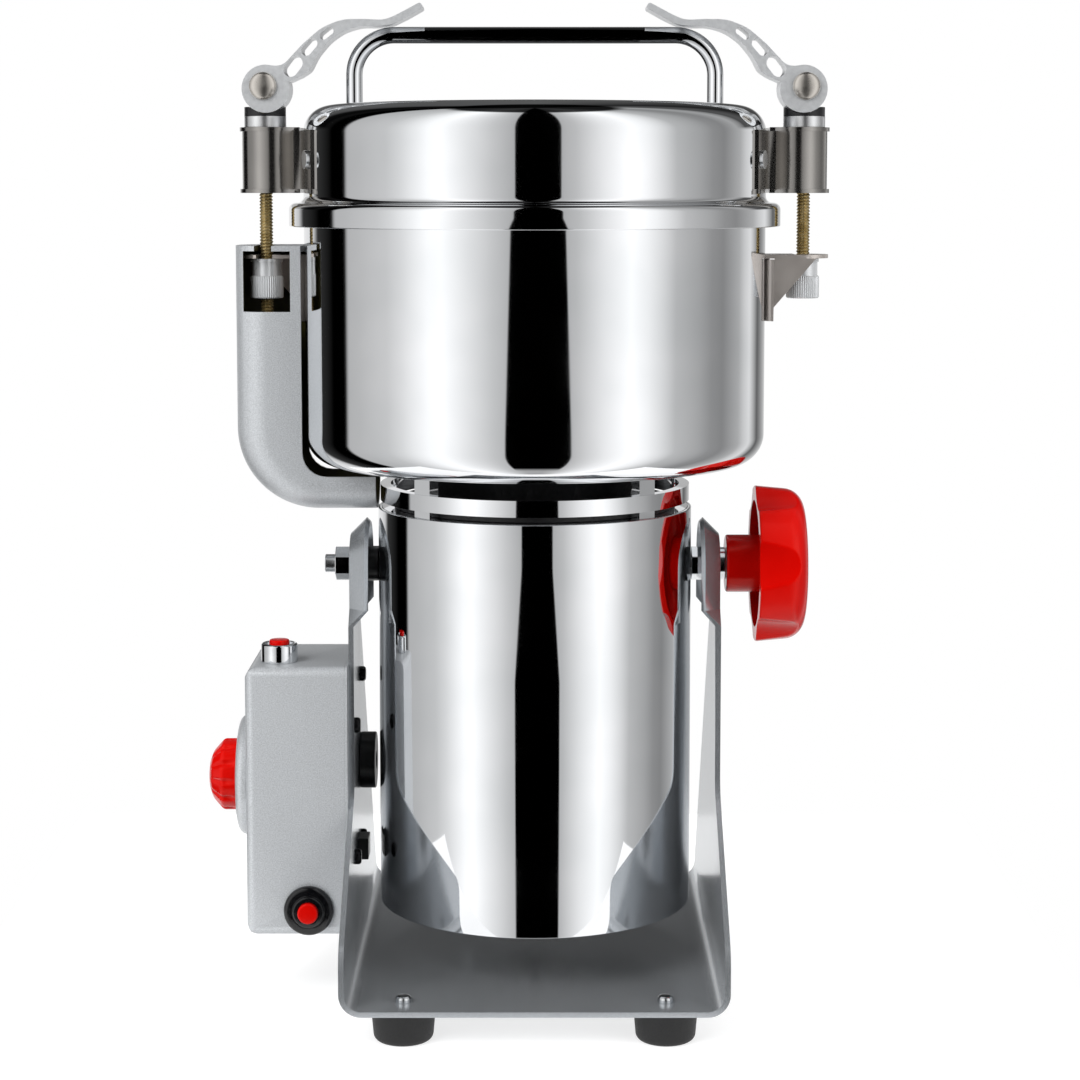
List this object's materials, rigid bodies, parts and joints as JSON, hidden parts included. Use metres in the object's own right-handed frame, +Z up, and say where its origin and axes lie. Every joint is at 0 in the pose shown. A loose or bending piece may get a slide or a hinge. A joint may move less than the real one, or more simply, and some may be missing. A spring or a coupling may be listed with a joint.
{
  "type": "electric grain mill",
  "caption": "Tilting electric grain mill: motor head with a lidded grinding bowl in a bent sheet stand, over-centre latches, timer knob, push buttons and a star clamp knob.",
  "frame": {"origin": "on the floor, midway between the outermost points in X and Y", "axes": "+X to the operator's right, +Y to the back, +Z up"},
  "size_m": [0.2732, 0.225, 0.435],
  "materials": {
    "mirror_chrome": "mirror-polished stainless steel",
    "silver_paint": "silver paint with a fine metallic grain",
    "black_rubber": "moulded black rubber",
    "black_nylon": "moulded black nylon",
    "knob_red": "glossy red moulded plastic",
    "red_plastic": "glossy red plastic",
    "white_plastic": "off-white plastic",
    "zinc_steel": "zinc-plated steel",
    "satin_aluminium": "satin cast aluminium",
    "warm_nickel": "polished nickel plate",
    "bronze_rod": "yellow-passivated threaded rod",
    "carrier_black": "black-painted casting",
    "core_steel": "laminated electrical steel",
    "copper": "varnished copper",
    "carbon": "pressed carbon",
    "insert_brass": "turned brass",
    "blade_steel": "ground stainless steel"
  },
  "bodies": {
    "frame": {"base_frame": "silver_paint", "rubber_feet": "black_rubber", "stand_screws": "zinc_steel", "control_box": "silver_paint", "box_back_plate": "silver_paint", "timer_dial_plate": "silver_paint", "timer_module": "black_nylon", "power_button_collar": "white_plastic", "power_switch": "black_nylon", "reset_collar": "black_nylon", "overload_breaker": "black_nylon", "cable_glands": "black_nylon"},
    "timer": {"timer_spindle": "zinc_steel", "timer_knob": "red_plastic"},
    "power_button": {"power_button_cap": "red_plastic"},
    "reset_button": {"reset_button": "red_plastic"},
    "head": {"pivot_bolt": "zinc_steel", "pivot_stud": "zinc_steel", "pivot_nuts": "zinc_steel", "pivot_spacers": "black_nylon", "motor_housing": "mirror_chrome", "bottom_cover": "black_nylon", "head_screws": "zinc_steel", "lower_bracket": "satin_aluminium", "stator_core": "core_steel", "stator_windings": "copper", "brush_holders": "black_nylon", "carbon_brushes": "carbon", "motor_bearings": "zinc_steel", "neck_cage": "mirror_chrome", "bearing_carrier": "carrier_black", "shaft_seal": "black_rubber", "grinding_bowl": "mirror_chrome", "bowl_brackets": "warm_nickel", "elbow_cover": "silver_paint", "lid_switch": "black_nylon"},
    "star_knob": {"star_knob": "knob_red", "knob_insert": "insert_brass", "knob_washer": "zinc_steel"},
    "rotor": {"motor_shaft": "blade_steel", "armature_core": "core_steel", "armature_windings": "copper", "commutator": "copper", "cooling_fan": "black_nylon", "grinding_blades": "blade_steel", "blade_spacers": "blade_steel", "blade_nut": "blade_steel"},
    "lid": {"lid_shell": "mirror_chrome", "lid_seal": "black_rubber", "lid_handle": "mirror_chrome", "lid_fasteners": "zinc_steel", "latch_housings": "warm_nickel", "latch_collars": "warm_nickel", "latch_saddles": "black_nylon"},
    "left_rod": {"left_latch_rod": "bronze_rod"},
    "right_rod": {"right_latch_rod": "bronze_rod"},
    "left_lever": {"left_latch_lever": "satin_aluminium"},
    "right_lever": {"right_latch_lever": "satin_aluminium"},
    "left_nut": {"left_latch_nut": "satin_aluminium"},
    "right_nut": {"right_latch_nut": "satin_aluminium"}
  },
  "joints": [
    {"name": "head_tilt", "type": "hinge", "parent": "frame", "child": "head", "pos_m": [0.0082, -0.00555, 0.1902], "axis": [1, 0, 0], "range_deg": [-90, 90]},
    {"name": "star_knob_turn", "type": "hinge", "parent": "head", "child": "star_knob", "pos_m": [0.1082, -0.00555, 0.1902], "axis": [1, 0, 0], "range_deg": [0, 360]},
    {"name": "timer_turn", "type": "hinge", "parent": "frame", "child": "timer", "pos_m": [-0.123, -0.00555, 0.0952], "axis": [-1, 0, 0], "range_deg": [0, 300]},
    {"name": "power_button_press", "type": "slide", "parent": "frame", "child": "power_button", "axis": [0, 0, -1], "range_m": [0, 0.0014], "stiffness_N_per_m": 600, "springref_m": -0.001},
    {"name": "reset_button_press", "type": "slide", "parent": "frame", "child": "reset_button", "axis": [0, 1, 0], "range_m": [0, 0.002], "stiffness_N_per_m": 500, "springref_m": -0.001},
    {"name": "rotor_spin", "type": "hinge", "parent": "head", "child": "rotor", "pos_m": [0.0082, -0.00555, 0.15], "axis": [0, 0, 1], "continuous": true},
    {"name": "lid_lift", "type": "slide", "parent": "head", "child": "lid", "axis": [0, 0, 1], "range_m": [0, 0.15]},
    {"name": "left_lever_turn", "type": "hinge", "parent": "left_rod", "child": "left_lever", "pos_m": [-0.1091, -0.00555, 0.3995], "axis": [0, -1, 0], "range_deg": [0, 110]},
    {"name": "left_rod_drop", "type": "slide", "parent": "lid", "child": "left_rod", "axis": [0, 0, -1], "range_m": [0, 0.0025]},
    {"name": "left_nut_turn", "type": "hinge", "parent": "head", "child": "left_nut", "pos_m": [-0.1091, -0.00555, 0.316], "axis": [0, 0, 1], "continuous": true},
    {"name": "right_lever_turn", "type": "hinge", "parent": "right_rod", "child": "right_lever", "pos_m": [0.1255, -0.00555, 0.3995], "axis": [0, 1, 0], "range_deg": [0, 110]},
    {"name": "right_rod_drop", "type": "slide", "parent": "lid", "child": "right_rod", "axis": [0, 0, -1], "range_m": [0, 0.0025]},
    {"name": "right_nut_turn", "type": "hinge", "parent": "head", "child": "right_nut", "pos_m": [0.1255, -0.00555, 0.316], "axis": [0, 0, 1], "continuous": true}
  ],
  "couplings": [
    {"joint": "left_rod_drop", "follows": "left_lever_turn", "m_per_rad": 0.00125},
    {"joint": "right_rod_drop", "follows": "right_lever_turn", "m_per_rad": 0.00125}
  ]
}
